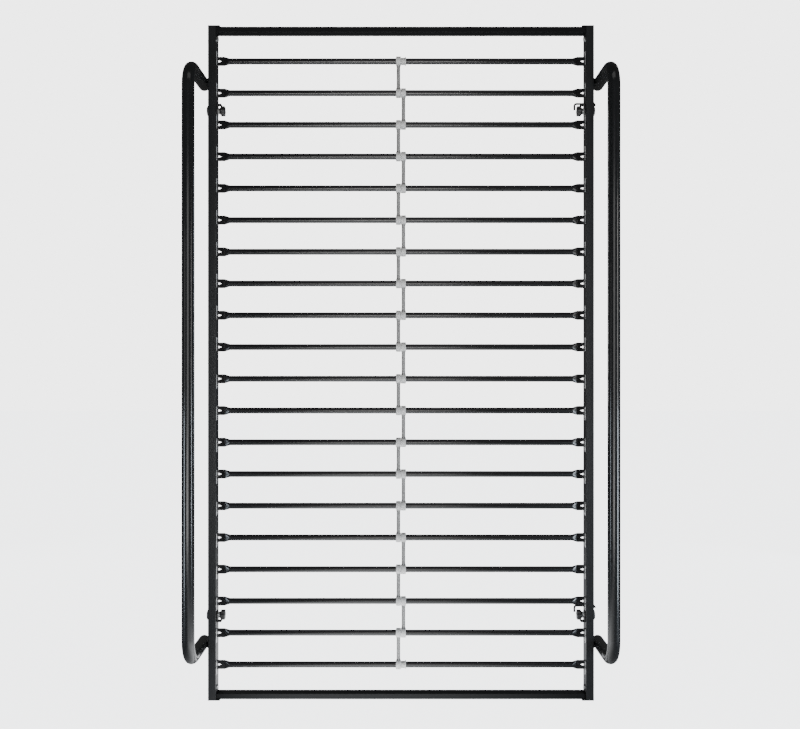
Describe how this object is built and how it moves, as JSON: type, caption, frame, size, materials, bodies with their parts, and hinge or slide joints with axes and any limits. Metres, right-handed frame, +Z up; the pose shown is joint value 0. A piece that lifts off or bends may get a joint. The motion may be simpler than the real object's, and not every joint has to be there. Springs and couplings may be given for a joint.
{
  "type": "livestock panel gate",
  "caption": "Upright gate panel of pressed-end tube rungs between two channel stiles, with stand-off side hoops, star-knob clamps and sprung latches.",
  "frame": {"origin": "centre of the gate's box in plan, at its lowest face", "axes": "+X to the right seen from the front, +Y from the hoops towards the back, +Z up along the stiles"},
  "size_m": [1.2958, 0.274, 2.134],
  "materials": {
    "frame_black": "satin powder coat",
    "hoop_black": "satin powder coat",
    "rung_black": "satin powder coat",
    "cap_black": "moulded",
    "bush_grey": "moulded nylon",
    "link_grey": "moulded nylon, lightly textured",
    "zinc": "bright zinc plate",
    "bracket_black": "satin powder coat",
    "knob_black": "moulded",
    "latch_black": "black oxide",
    "guide_black": "moulded nylon",
    "spring_steel": "bright spring wire"
  },
  "bodies": {
    "panel": {"clamp_bolts": "zinc", "corner_bolts": "zinc", "end_collars": "link_grey", "hoop_left": "hoop_black", "hoop_right": "hoop_black", "latch_guides": "guide_black", "latch_spring_lower": "spring_steel", "latch_spring_upper": "spring_steel", "link_01": "link_grey", "link_02": "link_grey", "link_03": "link_grey", "link_04": "link_grey", "link_05": "link_grey", "link_06": "link_grey", "link_07": "link_grey", "link_08": "link_grey", "link_09": "link_grey", "link_10": "link_grey", "link_11": "link_grey", "link_12": "link_grey", "link_13": "link_grey", "link_14": "link_grey", "link_15": "link_grey", "link_16": "link_grey", "link_17": "link_grey", "link_18": "link_grey", "link_19": "link_grey", "lip_plates": "bracket_black", "rail_bottom": "frame_black", "rail_top": "frame_black", "rung_01": "rung_black", "rung_02": "rung_black", "rung_03": "rung_black", "rung_04": "rung_black", "rung_05": "rung_black", "rung_06": "rung_black", "rung_07": "rung_black", "rung_08": "rung_black", "rung_09": "rung_black", "rung_10": "rung_black", "rung_11": "rung_black", "rung_12": "rung_black", "rung_13": "rung_black", "rung_14": "rung_black", "rung_15": "rung_black", "rung_16": "rung_black", "rung_17": "rung_black", "rung_18": "rung_black", "rung_19": "rung_black", "rung_20": "rung_black", "rung_bushes": "bush_grey", "stile_caps": "cap_black", "stile_left": "frame_black", "stile_right": "frame_black"},
    "knob_lower_left": {"knob_lower_left": "knob_black"},
    "knob_lower_right": {"knob_lower_right": "knob_black"},
    "knob_upper_left": {"knob_upper_left": "knob_black"},
    "knob_upper_right": {"knob_upper_right": "knob_black"},
    "latch_upper": {"latch_upper": "latch_black"},
    "latch_lower": {"latch_lower": "latch_black"}
  },
  "joints": [
    {"name": "knob_lower_left_spin", "type": "hinge", "parent": "panel", "child": "knob_lower_left", "pos_m": [-0.568, 0.112, 0.266], "axis": [1, 0, 0], "continuous": true},
    {"name": "knob_lower_right_spin", "type": "hinge", "parent": "panel", "child": "knob_lower_right", "pos_m": [0.568, 0.112, 0.266], "axis": [1, 0, 0], "continuous": true},
    {"name": "knob_upper_left_spin", "type": "hinge", "parent": "panel", "child": "knob_upper_left", "pos_m": [-0.568, 0.112, 1.868], "axis": [1, 0, 0], "continuous": true},
    {"name": "knob_upper_right_spin", "type": "hinge", "parent": "panel", "child": "knob_upper_right", "pos_m": [0.568, 0.112, 1.868], "axis": [1, 0, 0], "continuous": true},
    {"name": "latch_upper_slide", "type": "slide", "parent": "panel", "child": "latch_upper", "axis": [-1, 0, 0], "range_m": [0, 0.011], "stiffness_N_per_m": 350, "springref_m": -0.01, "deforming": ["latch_spring_upper"]},
    {"name": "latch_lower_slide", "type": "slide", "parent": "panel", "child": "latch_lower", "axis": [-1, 0, 0], "range_m": [0, 0.011], "stiffness_N_per_m": 350, "springref_m": -0.01, "deforming": ["latch_spring_lower"]}
  ]
}
